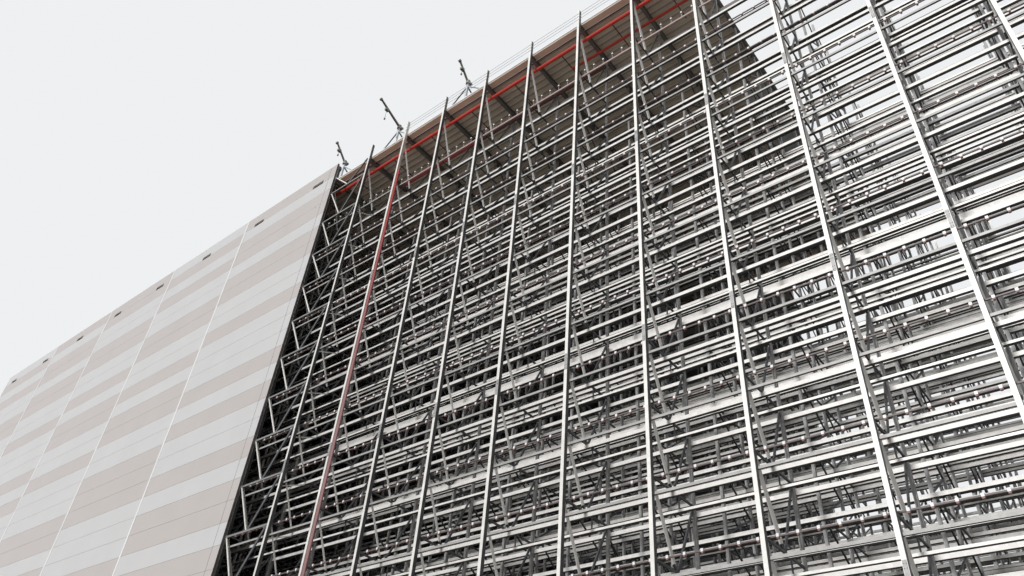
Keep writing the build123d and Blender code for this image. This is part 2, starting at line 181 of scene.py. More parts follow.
def makeCoated(name, tone, roughness=coated["roughness"], change=coated["change"]):
    material, tree, shader = newMaterial(name)
    place = addNode(tree, "ShaderNodeTexCoord").outputs["Object"]
    wave = addNode(tree, "ShaderNodeTexNoise", {"Scale": 1000 / coated["waveMm"], "Detail": 3.0},
                   {"Vector": place})
    base = hexColour(tone)[:3]
    low = tuple(max(c * (1 - change), 0) for c in base) + (1.0,)
    high = tuple(min(c * (1 + change), 1) for c in base) + (1.0,)
    paint = addNode(tree, "ShaderNodeMix", {"data_type": "RGBA", mixLow: low, mixHigh: high},
                    {mixShare: wave.outputs["Fac"]})
    peel = addNode(tree, "ShaderNodeTexNoise", {"Scale": 1000 / coated["peelMm"], "Detail": 2.0},
                   {"Vector": place})
    bump = addNode(tree, "ShaderNodeBump",
                   {"Strength": coated["peelStrength"], "Distance": coated["peelDeep"]},
                   {"Height": peel.outputs["Fac"]})
    tree.links.new(paint.outputs[mixOut], shader.inputs["Base Color"])
    tree.links.new(bump.outputs["Normal"], shader.inputs["Normal"])
    shader.inputs["Roughness"].default_value = roughness
    return material


# Brushed red primer of the riser: dull red up under the roof, pink further down. The heights of the change
# are in metres
riserPaint = {"upperRed": "#a83a35", "lowerPink": "#a3797a", "pinkBelow": 9.0, "redAbove": 14.5,
              "roughness": 0.5}


def makeRiserPaint():
    material, tree, shader = newMaterial("redToPinkPrimer")
    place = addNode(tree, "ShaderNodeTexCoord").outputs["Object"]
    height = addNode(tree, "ShaderNodeSeparateXYZ", None, {"Vector": place})
    share = addNode(tree, "ShaderNodeMapRange", {"From Min": riserPaint["pinkBelow"],
                                                 "From Max": riserPaint["redAbove"]},
                    {"Value": height.outputs["Z"]})
    paint = addNode(tree, "ShaderNodeMix", {"data_type": "RGBA", mixLow: hexColour(riserPaint["lowerPink"]),
                                            mixHigh: hexColour(riserPaint["upperRed"])},
                    {mixShare: share.outputs["Result"]})
    tree.links.new(paint.outputs[mixOut], shader.inputs["Base Color"])
    shader.inputs["Roughness"].default_value = riserPaint["roughness"]
    return material


riserRed = makeRiserPaint()

# Outer posts, dipped after rolling: warm pale faces that catch the sun
rackSteel = makeGalvanised("hotDipGalvanisedSteel", galvanised)
# Inner uprights and sheeting rails, rolled from galvanised strip: an even mid grey, kept darker than the
# posts as painted shade inside the racking
frameSteel = makeGalvanised("rolledGalvanisedStrip",
                            {**galvanised, "light": "#b6b5b4", "dark": "#8f8e8e", "under": "#3c3c3e"})
# Struts and feet deep in the frames: dark and dull zinc between the pale faces, as painted shade
deepSteel = makeGalvanised("shadeDarkGalvanisedSteel",
                           {**galvanised, "light": "#6f7073", "dark": "#4c4e51", "under": "#2c2d2f"})
# Shelf beams, roll-formed from bright strip: pale lines with a dark lower edge of painted shade
beamSteel = makeGalvanised("rollFormedGalvanisedBeam",
                           {**galvanised, "light": "#e6e3df", "dark": "#cbc8c4"})
# The same beams in the far rows: duller and darker zinc, as painted shade of the deep racking
rearSteel = makeGalvanised("shadeDarkGalvanisedBeam",
                           {**galvanised, "light": "#a6a4a0", "dark": "#82807c", "under": "#2c2c2d"})
# Braces: zinc nearly white on every side, undersides too, as painted sunlight: thin white lines
braceSteel = makeGalvanised("paintedSunlitBrace",
                            {**galvanised, "light": "#fbfaf7", "dark": "#e6e4e0", "under": "#e6e4e0"})
# Ledgers of the braced bay, dipped and gone dull: mid grey behind the bright braces
ledgerSteel = makeGalvanised("dullGalvanisedLedger",
                             {**galvanised, "light": "#949390", "dark": "#7a7977", "under": "#4b4c4f"})
# Outer beams: zinc a little greyer and dimmer than the other beams
outerSteel = makeGalvanised("greyGalvanisedRail", {**galvanised, "light": "#b4b2af", "dark": "#979592"})
# Dark zinc as painted shade: the webs of the braces, the right legs of the Vs, the beams' lips, and the
# post sides, where it also stands for their keyhole rows
shadedSteel = makeGalvanised("shadedGalvanisedAngle",
                             {**galvanised, "light": "#5e5f62", "dark": "#4c4d50", "under": "#38393c"})

# Wall panels, roller-coated in two colours: satin light grey, and a warmer and darker grey
panelLight = makeCoated("coilCoatedSheetLightGrey", "#d0cfcf")
panelDark = makeCoated("coilCoatedSheetWarmGrey", "#c3bcb9")
# Inner face and edges of the panels, one thin coat: matt mid grey, darker than the sheet is, as painted
# shade of the building's inside and its joints
panelInner = makeCoated("coilCoatedLinerSheet", "#6f7174", 0.6)
# Trims and cappings, folded from white coated sheet: crisp edges, almost no change of tone
whiteSheet = makeCoated("foldedWhiteSheet", "#f4f5f6", 0.4, 0.02)
# Dark strips in the slot chutes and in the joint beside the corner, and painted shade on the panels' end
# face: matt and dark
gapShade = makeCoated("darkJointAndShade", "#6d6a68", 0.8)
# Sprinkler main, powder-coated: strong red with a slight sheen
redPipe = makeCoated("redPowderCoatedPipe", "#cf3a2d", 0.45, 0.1)
# Branches and the far line past its change: the red coat painted dark as their shade, a matt red brown
branchPipe = makeCoated("shadeDarkRedPipe", "#5c3f3a", 0.6, 0.1)
# Far sprinkler line, red coat bleached by the sun: dull rose
fadedPipe = makeCoated("sunFadedRedPipe", "#a5484a", 0.55, 0.1)
# Lines in the racking, dipped in primer only: dull brown grey, and a pale length at the top
pinkPipe = makeCoated("primedSprinklerPipe", "#665a58", 0.5, 0.08)
palePipe = makeCoated("palePrimedPipe", "#b59c98", 0.5, 0.08)
# Bodies of the sprinkler heads, cast brass gone brown: its tarnish hides the metal's shine
headBody = makeCoated("brownCastHeadBody", "#8a5f56", 0.5, 0.1)
# Underside of the roof deck, coated sheet: a matt cream that reads brown in the roof's own shade
deckSheet = makeCoated("coatedTrapezoidalSheet", "#ddd0bf", 0.6, 0.06)
# Grooves on the crowns of the same sheet, and painted rib shade in its troughs: fine dark lines
deckShade = makeCoated("shadowedSheetGroove", "#5f564c", 0.7, 0.06)
# Closing sheet of the roof edge, brown primer on folded steel
edgeSheet = makeCoated("brownEdgeSheet", "#e0c8b4", 0.6, 0.06)
# Beams and rafters of the roof, hot-rolled and sprayed with primer: matt, dark and a little uneven
darkSteel = makeCoated("primedRolledSteel", "#6c6762", 0.6, 0.08)
# Floor slab, concrete smoothed by power float: matt with soft clouds
concrete = makeCoated("powerFloatedConcrete", "#b3b0aa", 0.75, 0.08)
# Roof sheet of welded plastic: matt and evenly pale
membrane = makeCoated("weldedRoofMembrane", "#cfd1d2", 0.6, 0.05)
# Feet and masts of the hoists, zinc-plated: cooler than the racking's dipped zinc
hoistSteel = makeGalvanised("zincPlatedHoistSteel", {**galvanised, "light": "#d7dadd", "dark": "#a7abb0"})
# Booms, the same plating after years outdoors: khaki grey
boomSteel = makeGalvanised("weatheredHoistBoom", {**galvanised, "light": "#a19e94", "dark": "#77746b"})
# Sides of the post next to the panels: near black, as painted shadow of the panels: a hard dark edge
shadowBlackSteel = makeCoated("paintedShadowBlack", "#232426", 0.45, 0.08)
# Safety lines, stranded and greased steel rope: too thin to show strands, a plain grey line
ropeSteel = makeCoated("strandedSteelRope", "#8f9296", 0.4, 0.05)


# Joined meshes from many small bars and boxes
def emptyStore():
    return {"points": [], "faces": [], "marks": []}


def addBox(store, low, high, mark=0):
    first = len(store["points"])
    for x in (low[0], high[0]):
        for y in (low[1], high[1]):
            for z in (low[2], high[2]):
                store["points"].append((x, y, z))
    for face in ((0, 1, 3, 2), (4, 6, 7, 5), (0, 4, 5, 1), (2, 3, 7, 6), (0, 2, 6, 4), (1, 5, 7, 3)):
        store["faces"].append([first + i for i in face])
        store["marks"].append(mark)


def addBar(store, start, end, profile, side, mark=0):
    # A bar with any section: profile points are (across, along side), from start to end
    start, end = Vector(start), Vector(end)
    run = (end - start).normalized()
    sideways = (Vector(side) - run * run.dot(Vector(side))).normalized()
    across = run.cross(sideways)
    first = len(store["points"])
    count = len(profile)
    for base in (start, end):
        for u, v in profile:
            store["points"].append(tuple(base + across * u + sideways * v))
    for i in range(count):
        j = (i + 1) % count
        store["faces"].append([first + i, first + j, first + count + j, first + count + i])
        store["marks"].append(mark)
    store["faces"].append([first + i for i in reversed(range(count))])
    store["faces"].append([first + count + i for i in range(count)])
    store["marks"] += [mark, mark]


def flatSection(width, thick):
    half, deep = width / 2, thick / 2
    return [(-half, -deep), (half, -deep), (half, deep), (-half, deep)]


def channelSection(width, depth, wall):
    half = width / 2
    return [(-half, 0), (half, 0), (half, depth), (half - wall, depth), (half - wall, wall),
            (-half + wall, wall), (-half + wall, depth), (-half, depth)]


def roundSection(radius, sides=8):
    return [(radius * math.cos(2 * math.pi * i / sides), radius * math.sin(2 * math.pi * i / sides))
            for i in range(sides)]


def makePiece(name, store, materials):
    # A mark in the store is the place of a face's material in the list
    mesh = bpy.data.meshes.new(name)
    mesh.from_pydata(store["points"], [], store["faces"])
    for material in materials:
        mesh.materials.append(material)
    mesh.polygons.foreach_set("material_index", store["marks"])
    tool = bmesh.new()
    tool.from_mesh(mesh)
    bmesh.ops.recalc_face_normals(tool, faces=tool.faces)
    tool.to_mesh(mesh)
    tool.free()
    piece = bpy.data.objects.new(name, mesh)
    scene.collection.objects.link(piece)
    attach(piece, home)
    return piece


# Camera where the photograph was taken from, solved from its vanishing points
camera = {"grid": 25.44, "distance": 8.475, "height": 0.8, "lens": 27.92, "sensor": 36.0,
          "right": (0.77659, 0.62585, 0.07217), "up": (0.34999, -0.52384, 0.77659),
          "shift": (-0.0005, 0.0005), "nearest": 0.1, "farthest": 400.0}


def setCamera():
    data = bpy.data.cameras.new("camera")
    data.sensor_width = camera["sensor"]
    data.lens = camera["lens"]
    data.clip_start = camera["nearest"]
    data.clip_end = camera["farthest"]
    data.shift_x, data.shift_y = camera["shift"]
    item = bpy.data.objects.new("camera", data)
    scene.collection.objects.link(item)
    right, up = Vector(camera["right"]), Vector(camera["up"])
    back = right.cross(up)
    turn = Matrix((right, up, back)).transposed().to_4x4()
    place = Vector((gridX(camera["grid"]), frontPlane - camera["distance"], camera["height"]))
    item.matrix_world = Matrix.Translation(place) @ turn
    scene.camera = item


setCamera()
print("camera set")


# Finishes of the nodes whose shape stays
finishes = {"front_posts": rackSteel, "back_posts": rackSteel,
            "front_inner_uprights": frameSteel, "back_inner_uprights": frameSteel,
            "row_b_uprights": frameSteel, "row_c_uprights": frameSteel, "row_d_uprights": frameSteel,
            "front_wall_rails": frameSteel, "back_wall_rails": frameSteel, "end_wall_rails": frameSteel,
            "front_mid_beams": beamSteel, "front_inner_beams": beamSteel, "back_inner_beams": beamSteel,
            "row_b_beams": beamSteel, "row_c_beams": rearSteel, "row_d_beams": rearSteel,
            "front_outer_beams": outerSteel, "front_frame_struts": deepSteel,
            "roof_long_beams": darkSteel, "roof_rafters": darkSteel, "roof_deck": deckSheet,
            "roof_edge_trim": whiteSheet, "joint_trims": whiteSheet, "parapet_cap": whiteSheet,
            "roof_sprinkler_main": redPipe, "sprinkler_riser": riserRed, "rack_sprinkler_lines": pinkPipe,
            "hoist_1_base": hoistSteel, "hoist_2_base": hoistSteel, "hoist_3_base": hoistSteel,
            "hoist_1_jib": boomSteel, "hoist_2_jib": boomSteel, "hoist_3_jib": boomSteel,
            "safety_lines": ropeSteel, "base_slab": concrete}


def paintFrame():
    for name, material in finishes.items():
        for holder in nodes[name].material_slots:
            holder.link = "OBJECT"
            holder.material = material


paintFrame()
print("frame painted")


# Wall panels: metre-high rows in two greys (L and D) from the top down, with a groove at every joint
wallPanels = {"row": 0.5, "groove": 0.006, "grooveDeep": 0.004, "thick": 0.05,
              "bandsA": "DLDDLDDLLDLLLDLDLLDLDDLDDLDLDDLLDLDLD",
              "bandsB": "LDLDLLDDLLDLDDLLDDDLLLDLDDLDLLDDLLDLD",
              "bandsC": "DDLLDDLLDLDDLLDLLLDDLDDLLDLDDLLDLLLDD",
              "front": ("bandsB", "bandsA", "bandsC", "bandsB", "bandsA"),
              "back": ("bandsA", "bandsB", "bandsC")}
panelSheets = [panelLight, panelDark, panelInner]

# Overflow slots of the parapets; first and every are counted in bays from the open end
overflowSlots = {"length": 0.475, "height": 0.14, "drop": 0.45, "first": 0.5, "every": 2,
                 "chuteDeep": 0.09, "chuteWall": 0.01}

# Dark strips at the corner beside the open racking: one on the end face, as painted shade, and a thin joint
# line beside it on the front
cornerDarkStrips = {"thick": 0.002, "from": 0.28, "to": 0.272}


def panelRows(store, left, right, outer, facing, bottom, top, bands, along="x"):
    # Rows from the top down; each is a shallow tray in front of the recessed joint
    row = wallPanels["row"]
    deep = wallPanels["grooveDeep"]
    thick = wallPanels["thick"]
    half = wallPanels["groove"] / 2
    faceLow, faceHigh = sorted((outer, outer - facing * deep))
    coreLow, coreHigh = sorted((outer - facing * deep, outer - facing * thick))
    number = 0
    z = top
    while z > bottom + 1e-6:
        low = max(z - row, bottom)
        mark = 0 if bands[number % len(bands)] == "L" else 1
        if along == "x":
            addBox(store, (left, faceLow, low + half), (right, faceHigh, z - half), mark)
            addBox(store, (left, coreLow, low), (right, coreHigh, z), 2)
        else:
            addBox(store, (faceLow, left, low + half), (faceHigh, right, z - half), mark)
            addBox(store, (coreLow, left, low), (coreHigh, right, z), 2)
        z = low
        number += 1


def parapetRows(name, outer, facing, edges, patterns):
    # Two rows over each module, cut by the overflow slots, with a dark chute behind each slot
    store, chutes = emptyStore(), emptyStore()
    low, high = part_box(name)
    half = wallPanels["groove"] / 2
    wall = overflowSlots["chuteWall"]
    slotTop = high.z - overflowSlots["drop"] + overflowSlots["height"] / 2
    slotBottom = slotTop - overflowSlots["height"]
    places = []
    grid = round((high.x - gridZero - postWidth / 2) / bay, 3) - overflowSlots["first"]
    while grid > 0:
        places.append(gridX(grid))
        grid -= overflowSlots["every"]
    inner = outer - facing * wallPanels["thick"]
    yLow, yHigh = sorted((outer, inner))
    near, far = sorted((inner, inner - facing * overflowSlots["chuteDeep"]))
    rowLine = high.z - wallPanels["row"]
    for (start, stop), pattern in zip(zip(edges, edges[1:]), patterns):
        upper, lower = [0 if c == "L" else 1 for c in wallPanels[pattern][:2]]
        inside = sorted(x for x in places if start < x < stop)
        sides = [x + side * overflowSlots["length"] / 2 for x in inside for side in (-1, 1)]
        cuts = [start + half] + sides + [stop - half]
        for left, right in zip(cuts[::2], cuts[1::2]):
            addBox(store, (left, yLow, rowLine + half), (right, yHigh, high.z), upper)
            addBox(store, (left, yLow, low.z), (right, yHigh, rowLine - half), lower)
        for left, right in zip(cuts[1::2], cuts[2::2]):
            addBox(store, (left, yLow, slotTop), (right, yHigh, high.z), upper)
            addBox(store, (left, yLow, low.z), (right, yHigh, slotBottom), lower)
            addBox(chutes, (left - wall, near, slotTop), (right + wall, far, slotTop + wall))
            addBox(chutes, (left - wall, near, slotBottom - wall), (right + wall, far, slotBottom))
            addBox(chutes, (left - wall, near, slotBottom), (left, far, slotTop))
            addBox(chutes, (right, near, slotBottom), (right + wall, far, slotTop))
    piece = makePiece(f"{name.split('_')[0]}ParapetRows", store, [panelLight, panelDark])
    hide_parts(name)
    makePiece(f"{name.split('_')[0]}SlotChutes", chutes, [gapShade])


def moduleEdges(low, high, bays):
    return [low.x] + [gridX(i) for i in range(moduleBays, bays, moduleBays)] + [high.x]


def buildFrontPanels():
    # The parapet has the first two rows of each pattern, and the wall below it the rest
    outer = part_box("front_cladding_1")[0].y
    for number, pattern in enumerate(wallPanels["front"], start=1):
        low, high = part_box(f"front_cladding_{number}")
        store = emptyStore()
        panelRows(store, low.x, high.x, outer, -1, low.z, high.z, wallPanels[pattern][2:])
        piece = makePiece(f"frontPanels{number}", store, panelSheets)
        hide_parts(f"front_cladding_{number}")
    edge = high.x
    low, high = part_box("front_parapet")
    parapetRows("front_parapet", outer, -1, moduleEdges(low, high, cladBays), wallPanels["front"])
    store = emptyStore()
    thick = cornerDarkStrips["thick"]
    addBox(store, (edge, outer, slabTop), (edge + thick, outer + wallPanels["thick"], high.z))
    addBox(store, (edge - cornerDarkStrips["from"], outer - thick, slabTop),
           (edge - cornerDarkStrips["to"], outer, high.z))
    makePiece("cornerDarkStrips", store, [gapShade])


def buildOtherPanels():
    low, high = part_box("back_cladding")
    store = emptyStore()
    half = wallPanels["groove"] / 2
    edges = moduleEdges(low, high, backCladBays)
    patterns = [wallPanels["back"][number % 3] for number in range(len(edges) - 1)]
    for start, stop, pattern in zip(edges, edges[1:], patterns):
        panelRows(store, start + half, stop - half, high.y, 1, low.z, high.z, wallPanels[pattern][2:])
    parapetRows("back_parapet", high.y, 1, edges, patterns)
    piece = makePiece("backPanels", store, panelSheets)
    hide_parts("back_cladding")
    low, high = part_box("end_wall_cladding")
    store = emptyStore()
    panelRows(store, low.y, 0, low.x, -1, low.z, high.z, wallPanels["bandsC"], along="y")
    panelRows(store, 0, high.y, low.x, -1, low.z, high.z, wallPanels["bandsA"], along="y")
    piece = makePiece("endPanels", store, panelSheets)
    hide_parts("end_wall_cladding")


buildFrontPanels()
buildOtherPanels()
print("wall panels made")


# Frames of the front row at every gridline: a pale brace from the outer post down to a dark foot, where
# the middle beam sits, and a dark brace from there up to the inner upright. The pale brace is a strip in
# near-white zinc as painted sunlight, on a web in dark zinc as painted shade; the foot and the second brace
# are dark as painted shade. Lines are distances behind the front plane, and rises are heights above the
# level
crossFrames = {"strip": 0.05, "web": 0.014, "width": 0.032, "depth": 0.024, "wall": 0.004,
               "headRise": 0.03, "topDrop": 0.215, "footLine": 0.55, "footRise": 0.135,
               "seatLine": 0.675, "seatRise": 0.04, "innerLine": 0.65, "innerRise": 0.05}


def buildCrossFrames():
    pale, dark = emptyStore(), emptyStore()
    values = crossFrames
    wall = values["wall"]
    section = channelSection(values["width"], values["depth"], wall)
    half, web = values["strip"] / 2, values["web"] / 2
    outerY, innerY = frontPlane + postDepth, innerLow.y
    footY, seatY, startY = [lineY(values[key]) for key in ("footLine", "seatLine", "innerLine")]
    for side in (1, -1):
        outline = ((web, -half), (web + wall, -half), (web + wall, half), (web, half))
        strip = [(side * u, v) for u, v in outline]
        for number in range(bayCount + 1):
            x = gridX(number)
            for level in range(levelCount + 1):
                base = levelZ(level)
                head = levelZ(level + 1) if level < levelCount else rafterUnder - values["topDrop"]
                start = (x, side * outerY, head + values["headRise"])
                foot = (x, side * footY, base + values["footRise"])
                addBar(pale, start, foot, strip, (1, 0, 0))
                addBar(pale, start, foot, flatSection(2 * web, wall), (1, 0, 0), 1)
                addBar(dark, foot, (x, side * seatY, base + values["seatRise"]), section, (-1, 0, 0))
                addBar(dark, (x, side * startY, base + values["innerRise"]), (x, side * innerY, head),
                       section, (-1, 0, 0))
    makePiece("frameBraces", pale, [braceSteel, shadedSteel])
    makePiece("frameFeet", dark, [deepSteel])


# Bracing of the first open bay: dull ledgers, a slim bright left leg and a broad right leg in each V, dark
# as painted shade
wallBraces = {"ledger": 0.045, "thick": 0.024, "leftLeg": 0.03, "rightLeg": 0.056,
              "leftInset": 0.02, "rightInset": 0.03, "footGap": 0.03}


def buildWallBraces():
    low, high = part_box("front_wall_bracing")
    y, middle = (low.y + high.y) / 2, (low.x + high.x) / 2
    half, thick, gap = wallBraces["ledger"] / 2, wallBraces["thick"], wallBraces["footGap"]
    store = emptyStore()
    heights = [levelZ(level) for level in range(1, levelCount + 1)] + [high.z - half]
    for z in heights:
        addBox(store, (low.x, low.y, z - half), (high.x, high.y, z + half))
    feet = [slabTop] + [z + half for z in heights]
    heads = [z - half for z in heights] + [deckLow.z]
    left, right = flatSection(wallBraces["leftLeg"], thick), flatSection(wallBraces["rightLeg"], thick)
    for foot, head in zip(feet, heads):
        addBar(store, (low.x + wallBraces["leftInset"], y, head), (middle - gap, y, foot), left,
               (0, 1, 0), 1)
        addBar(store, (high.x - wallBraces["rightInset"], y, head), (middle + gap, y, foot), right,
               (0, 1, 0), 2)
    piece = makePiece("firstBayBracing", store, [ledgerSteel, rackSteel, shadedSteel])
    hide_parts("front_wall_bracing")


# Lines along the rows that the frame leaves out: distance behind the front plane, rise of the middle above
# the level, height, thickness and how many levels have it
rowRails = {"lowerRail": (0.775, -0.175, 0.036, 0.03, 13), "shelfBeam": (2.515, -0.04, 0.06, 0.03, 14),
            "frontRailB": (2.12, -0.2, 0.036, 0.02, 14),
            "rearShelfB": (3.87, 0.02, 0.05, 0.03, 14), "upperRailB": (3.96, 0.19, 0.04, 0.02, 14),
            "frontShelfC": (5.175, 0.13, 0.05, 0.03, 14), "frontRailC": (5.175, -0.02, 0.036, 0.03, 14),
            "middleShelfC": (6.05, -0.18, 0.05, 0.03, 14), "rearShelfC": (6.61, 0.13, 0.05, 0.03, 14),
            "rearRailC": (6.61, -0.14, 0.036, 0.03, 14), "frontShelfD": (7.815, -0.02, 0.05, 0.03, 14),
            "frontRailD": (7.815, 0.18, 0.036, 0.03, 14), "middleShelfD": (8.95, -0.16, 0.05, 0.03, 14),
            "rearShelfD": (9.56, 0.12, 0.05, 0.03, 14)}
mirroredWithin = 1.0  # rails nearer to the wall than this are repeated at the back wall
# Rails further in take the far rows' darker zinc, as painted shade of the deep racking
shadedFrom = 5.0  # rails further in than this have the dull finish of the far rows


def buildRowRails():
    store = emptyStore()
    for distance, rise, tall, thick, count in rowRails.values():
        y = lineY(distance)
        places = (y, -y) if distance < mirroredWithin else (y,)
        for level in range(1, count + 1):
            low, high = levelZ(level) + rise - tall / 2, levelZ(level) + rise + tall / 2
            for middle in places:
                addBox(store, (postLow.x, middle - thick / 2, low), (postHigh.x, middle + thick / 2, high),
                       1 if distance > shadedFrom else 0)
    makePiece("rowLinesAlong", store, [rackSteel, rearSteel])


# Wide pale band on the second row, and the knee struts beside the braced bay
wideBand = {"line": 2.12, "low": 9.57, "high": 9.68, "thick": 0.012}
kneeStruts = {"grid": 16, "wide": 0.022, "lowDrop": 0.275, "highDrop": 0.04}


def buildBandAndKnees():
    store = emptyStore()
    y = lineY(wideBand["line"])
    addBox(store, (postLow.x, y - wideBand["thick"], wideBand["low"]), (postHigh.x, y, wideBand["high"]), 1)
    x = gridX(kneeStruts["grid"])
    section = flatSection(kneeStruts["wide"], kneeStruts["wide"])
    for level in range(1, levelCount + 1):
        z = levelZ(level)
        addBar(store, (x, frontPlane + postDepth, z - kneeStruts["lowDrop"]),
               (x, midLow.y, z - kneeStruts["highDrop"]), section, (1, 0, 0))
    makePiece("wideBandAndKnees", store, [braceSteel, beamSteel])


# Bottom lips of the roll-formed beams, turned away from the wall, in dark zinc: painted shade that makes
# each beam's underside a dark line
beamShadeLips = {"deep": 0.024, "thick": 0.004, "beamDrop": 0.1, "midDrop": 0.03}


def buildBeamShadeLips():
    store = emptyStore()
    half, drop = uprightDepth / 2, beamShadeLips["beamDrop"]
    b, c, d = rowLines["b"], rowLines["c"], rowLines["d"]
    edges = [(midHigh.y, beamShadeLips["midDrop"]), (beamHigh.y, drop), (lineY(c[0]) - half, drop)]
    edges += [(lineY(line) - half, drop) for line in b]
    edges += [(lineY(line) + half + beamThick, drop) for line in (c[2], d[0], d[2])]
    edges += [(lineY(distance) + thick / 2, tall / 2 - rise)
              for distance, rise, tall, thick, count in rowRails.values()]
    for y, fall in edges:
        for level in range(1, levelCount + 1):
            low = levelZ(level) - fall
            addBox(store, (postLow.x, y, low), (postHigh.x, y + beamShadeLips["deep"], low + beamShadeLips["thick"]))
    makePiece("beamShadeLips", store, [shadedSteel])


# Struts where the frame has none: it has one at every second gridline of the open front row. Hangers go
# down from the struts to the lower rail
hangers = {"strutEvery": 2, "strutWide": 0.024, "strutTall": 0.03, "wide": 0.02, "thick": 0.012,
           "drop": 0.235}


def buildHangers():
    store = emptyStore()
    wide, tall = hangers["strutWide"] / 2, hangers["strutTall"] / 2
    hangerWide, hangerThick = hangers["wide"] / 2, hangers["thick"] / 2
    strutRise = strutLow.z + tall - storey
    railY = lineY(rowRails["lowerRail"][0])
    for number in range(bayCount + 1):
        x = gridX(number)
        for level in range(1, levelCount + 1):
            z = levelZ(level) + strutRise
            addBox(store, (x - wide, -strutHigh.y, z - tall), (x + wide, -strutLow.y, z + tall))
            if number < cladBays or (number - cladBays) % hangers["strutEvery"]:
                addBox(store, (x - wide, strutLow.y, z - tall), (x + wide, strutHigh.y, z + tall))
            if level < levelCount:
                for y in (railY, -railY):
                    addBox(store, (x - hangerWide, y - hangerThick, z - hangers["drop"]),
                           (x + hangerWide, y + hangerThick, z))
    makePiece("strutsAndHangers", store, [deepSteel])


# The back row's middle beams, in one, where the front row's pair would be on that side
backMiddleThick = 0.03


def buildBackMiddleBeams():
    store = emptyStore()
    y = -(midLow.y + midHigh.y) / 2
    thick, tall = backMiddleThick / 2, beamTall / 2
    for level in range(1, levelCount + 1):
        z = levelZ(level)
        addBox(store, (postLow.x, y - thick, z - tall), (postHigh.x, y + thick, z + tall))
    makePiece("backMiddleBeams", store, [rackSteel])


# Struts and diagonals between the upright lines of the inner rows, and the middle uprights of two of them
rowFrames = {"strut": 0.03, "thick": 0.022, "strutDrop": 0.02, "upright": 0.045, "middles": ("c", "d")}


def buildRowFrames():
    section = flatSection(rowFrames["strut"], rowFrames["thick"])
    drop = rowFrames["strutDrop"]
    for name, lines in rowLines.items():
        store = emptyStore()
        for number in range(bayCount + 1):
            x = gridX(number)
            for a, b in zip(lines, lines[1:]):
                start = lineY(a) + uprightDepth / 2
                stop = lineY(b) - uprightDepth / 2
                for level in range(levelCount + 1):
                    low = levelZ(level)
                    high = levelZ(level + 1) if level < levelCount else rafterUnder
                    middle = (low + high) / 2
                    addBar(store, (x, start, low - drop), (x, stop, low - drop), section, (1, 0, 0))
                    addBar(store, (x, start, low), (x, stop, middle), section, (1, 0, 0))
                    addBar(store, (x, stop, middle), (x, start, high), section, (1, 0, 0))
        makePiece(f"rowFrames{name.upper()}", store, [deepSteel])


def buildMiddleUprights():
    store = emptyStore()
    wide, deep = rowFrames["upright"] / 2, uprightDepth / 2
    for name in rowFrames["middles"]:
        y = lineY(rowLines[name][1])
        for number in range(bayCount + 1):
            x = gridX(number)
            addBox(store, (x - wide, y - deep, slabTop), (x + wide, y + deep, rafterUnder))
    makePiece("middleUprights", store, [frameSteel])


# Perforated sides of the front posts: one dark band on each side, painted shade of the side face together
# with the rows of keyholes. The riser covers one side of its post, the last post's outer side is at the end
# of the building, and the first post's sides are near black, as painted shadow of the panels beside it
postSides = {"thick": 0.001, "inset": 0.004, "riserGrid": 17}


def buildPostSides():
    store = emptyStore()
    inset, thick = postSides["inset"], postSides["thick"]
    for number in range(cladBays, bayCount + 1):
        for side in (-1, 1):
            x = gridX(number) + side * postWidth / 2
            left, right = sorted((x, x + side * thick))
            if right <= postHigh.x and (number != postSides["riserGrid"] or side < 0):
                addBox(store, (left, frontPlane + inset, slabTop),
                       (right, frontPlane + postDepth, postHigh.z), 1 if number == cladBays else 0)
    makePiece("postShadeAndKeyholeBands", store, [shadedSteel, shadowBlackSteel])


# Connector plates at the beam ends (width, thickness, height), and bolted splice plates of the outer posts
plates = {"connector": (0.05, 0.004, 0.11), "connectorDrop": 0.07,
          "splice": (0.046, 0.005, 0.3), "spliceHeights": (3.8, 7.9, 12.4), "boltRadius": 0.008,
          "boltProud": 0.006, "boltRows": (-0.12, -0.07, 0.07, 0.12), "boltColumns": (-0.014, 0.014)}


def buildPlates():
    store = emptyStore()
    wide, thick, tall = plates["connector"]
    wideSplice, thickSplice, tallSplice = plates["splice"]
    boltSection = roundSection(plates["boltRadius"], 6)
    spliceY = frontPlane - thickSplice
    for number in range(bayCount + 1):
        x = gridX(number)
        for level in range(1, levelCount + 1):
            z = levelZ(level) - plates["connectorDrop"]
            for y in (beamHigh.y, -beamHigh.y - thick):
                addBox(store, (x - wide / 2, y, z - tall / 2), (x + wide / 2, y + thick, z + tall / 2))
        for z in plates["spliceHeights"]:
            if number > cladBays:
                addBox(store, (x - wideSplice / 2, spliceY, z - tallSplice / 2),
                       (x + wideSplice / 2, frontPlane, z + tallSplice / 2))
                for row in plates["boltRows"]:
                    for column in plates["boltColumns"]:
                        addBar(store, (x + column, spliceY - plates["boltProud"], z + row),
                               (x + column, spliceY, z + row), boltSection, (1, 0, 0))
    makePiece("platesAndBolts", store, [frameSteel])


buildCrossFrames()
buildWallBraces()
buildRowRails()
buildBandAndKnees()
buildBeamShadeLips()
buildHangers()
buildBackMiddleBeams()
buildRowFrames()
buildMiddleUprights()
buildPostSides()
buildPlates()
print("racking detail made")


# Thin dark lines on the trapezoidal sheet: stiffening grooves on each crown, and painted shade of the ribs
# in each trough. The middle third of the deck ends half a bay before the rest
deckGroovesAndShade = {"pitch": 0.17, "crown": 0.0225, "trough": 0.078, "troughRise": 0.055, "wide": 0.012,
               "tall": 0.003, "shortBays": 22.5}


